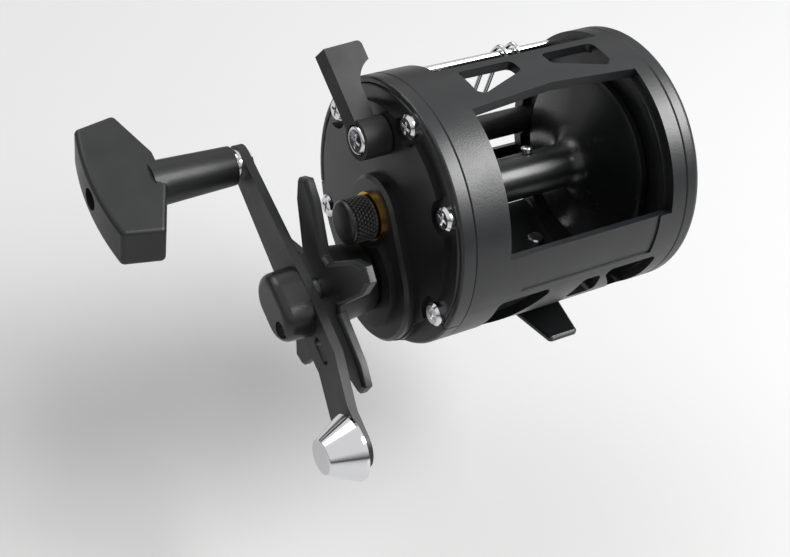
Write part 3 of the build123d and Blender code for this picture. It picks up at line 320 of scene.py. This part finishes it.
# a surface turned about an axis along X: each row of the outline is x, radius and knurl
# share; two sets of grooves run round the surface as opposite screws, and the groove
# depth fades from the line of a groove to the flat between grooves
def turnedPiece(name, centre, rows, count, knurl):
    rows = np.array(rows)
    angles = np.linspace(0, 2 * np.pi, count, endpoint=False)
    x = rows[1:-1, 0][:, None]
    radius = rows[1:-1, 1][:, None]
    share = rows[1:-1, 2][:, None]
    turns = knurl["teeth"] * angles[None, :] / (2 * np.pi)
    screws = (turns + x / knurl["pitch"], turns - x / knurl["pitch"])
    lines = [np.abs(2 * (t - np.round(t))) for t in screws]
    groove = 1 - np.clip(np.minimum(*lines) / knurl["flat"], 0, 1)
    radius = radius - knurl["depth"] * share * groove
    y = centre[0] + radius * np.cos(angles)
    z = centre[1] + radius * np.sin(angles)
    points = np.stack([x + 0 * radius, y, z], -1)
    poles = np.array([[rows[0, 0], *centre], [rows[-1, 0], *centre]])
    points = np.concatenate([points.reshape(-1, 3), poles]) * mm
    ring = np.arange(count)
    after = (ring + 1) % count
    start = np.arange(len(rows) - 3)[:, None] * count
    quads = np.stack([start + ring, start + count + ring, start + count + after, start + after], -1)
    first, last = len(points) - 2, len(points) - 1
    base = (len(rows) - 3) * count
    fans = np.concatenate(
        [
            np.stack([first + 0 * ring, ring, after], -1),
            np.stack([last + 0 * ring, base + after, base + ring], -1),
        ]
    )
    mesh = bpy.data.meshes.new(name)
    mesh.from_pydata(points.tolist(), [], quads.reshape(-1, 4).tolist() + fans.tolist())
    mesh.shade_smooth()
    mesh.set_sharp_from_angle(angle=np.radians(35))
    thing = bpy.data.objects.new(name, mesh)
    bpy.context.scene.collection.objects.link(thing)
    return thing


# cast control cap: diamond knurl between a plain rim and a rounded end
capShape = {
    "centre": (0.0, 37.4),
    "rim": -52.5,
    "end": -60.1,
    "floor": -57.7,
    "radius": 6.0,
    "bore": 4.35,
    "round": 1.1,
    "chamfer": 0.25,
    "plainRim": 0.7,
    "plainEnd": 1.5,
    "knurlRows": 46,
    "sides": 300,
    "knurl": {"teeth": 30, "pitch": 1.7, "depth": 0.34, "flat": 0.55},
}
bend = np.linspace(0, np.pi / 2, 7)
rim, end, radius, bore = (capShape[key] for key in ("rim", "end", "radius", "bore"))
knurlX = np.linspace(rim - capShape["plainRim"], end + capShape["plainEnd"], capShape["knurlRows"])
capRows = [(capShape["floor"], 0, 0), (capShape["floor"], bore, 0), (rim, bore, 0)]
capRows += [(rim, radius - capShape["chamfer"], 0), (rim - capShape["chamfer"], radius, 0)]
capRows += [(x, radius, 1) for x in knurlX]
capRows += [
    (end + capShape["round"] * (1 - np.sin(t)), radius - capShape["round"] * (1 - np.cos(t)), 0)
    for t in bend
]
capRows += [(end, 0, 0)]
knurledCap = turnedPiece(
    "knurledCap", capShape["centre"], capRows, capShape["sides"], capShape["knurl"]
)
finishPiece(knurledCap, "cast_control_cap", nodes["cast_control_cap"]["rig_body"])
print("knurled cap made")

# room, light and camera
floorSize = {"half": 6.0, "height": -0.06}
corners = [(-1, -1), (1, -1), (1, 1), (-1, 1)]
floorMesh = bpy.data.meshes.new("paleFloor")
floorPoints = [(x * floorSize["half"], y * floorSize["half"], floorSize["height"]) for x, y in corners]
floorMesh.from_pydata(floorPoints, [], [(0, 1, 2, 3)])
paleFloor = bpy.data.objects.new("paleFloor", floorMesh)
bpy.context.scene.collection.objects.link(paleFloor)
floorMesh.materials.append(makeFinish("paleCard", "#b4b4b4", 0.85, ior=1.45))

world = bpy.data.worlds.new("studioRoom")
bpy.context.scene.world = world
world.use_nodes = True
# white room, darker round the horizon, so that plated metal has dark bands in it
room = world.node_tree
direction = addNode(room, "ShaderNodeTexCoord").outputs["Generated"]
height = addNode(room, "ShaderNodeSeparateXYZ", {}, {"Vector": direction}).outputs["Z"]
wallTone = {"darkBelow": 0.08, "darkGrey": 0.12, "whiteAbove": 0.42, "strength": 0.85}
wall = addNode(room, "ShaderNodeValToRGB", {}, {"Fac": height})
wall.color_ramp.elements[0].position = wallTone["darkBelow"]
wall.color_ramp.elements[0].color = (*[wallTone["darkGrey"]] * 3, 1.0)
wall.color_ramp.elements[1].position = wallTone["whiteAbove"]
wall.color_ramp.elements[1].color = (1.0, 1.0, 1.0, 1.0)
room.links.new(wall.outputs["Color"], room.nodes["Background"].inputs["Color"])
room.nodes["Background"].inputs["Strength"].default_value = wallTone["strength"]

# soft boxes: place, size, power, all aimed at the middle of the reel
softBoxes = {
    "keyBox": {"place": (0.55, -0.38, 0.72), "size": (0.6, 0.5), "power": 15.0},
    "overheadBox": {"place": (-0.25, 0.5, 0.75), "size": (0.6, 0.5), "power": 2.5},
}
aim = np.array([-0.01, 0.0, 0.037])


# turns an object at place so that its back looks away from the target
def aimMatrix(place, target):
    back = np.array(place) - np.array(target)
    back = back / np.linalg.norm(back)
    right = np.cross((0, 0, 1), back)
    right = right / np.linalg.norm(right)
    up = np.cross(back, right)
    turn = np.eye(4)
    turn[:3, 0], turn[:3, 1], turn[:3, 2], turn[:3, 3] = right, up, back, place
    return Matrix(turn.tolist())


for name, box in softBoxes.items():
    lamp = bpy.data.lights.new(name, "AREA")
    lamp.shape = "RECTANGLE"
    lamp.size, lamp.size_y = box["size"]
    lamp.energy = box["power"]
    lampObject = bpy.data.objects.new(name, lamp)
    lampObject.matrix_world = aimMatrix(box["place"], aim)
    bpy.context.scene.collection.objects.link(lampObject)

cameraPose = {
    "place": (-0.22872, -0.24838, 0.27660),
    "right": (0.85178, -0.50727, 0.13097),
    "up": (0.24870, 0.61152, 0.75112),
    "back": (-0.46111, -0.60722, 0.64704),
    "lens": 67.71,
}
cameraData = bpy.data.cameras.new("studioCamera")
cameraData.lens = cameraPose["lens"]
cameraData.sensor_width = 36.0
cameraData.sensor_fit = "HORIZONTAL"
studioCamera = bpy.data.objects.new("studioCamera", cameraData)
cameraTurn = np.eye(4)
for column, key in enumerate(("right", "up", "back", "place")):
    cameraTurn[:3, column] = cameraPose[key]
studioCamera.matrix_world = Matrix(cameraTurn.tolist())
bpy.context.scene.collection.objects.link(studioCamera)
bpy.context.scene.camera = studioCamera
bpy.context.scene.view_settings.view_transform = "Standard"
print("room, light and camera set")
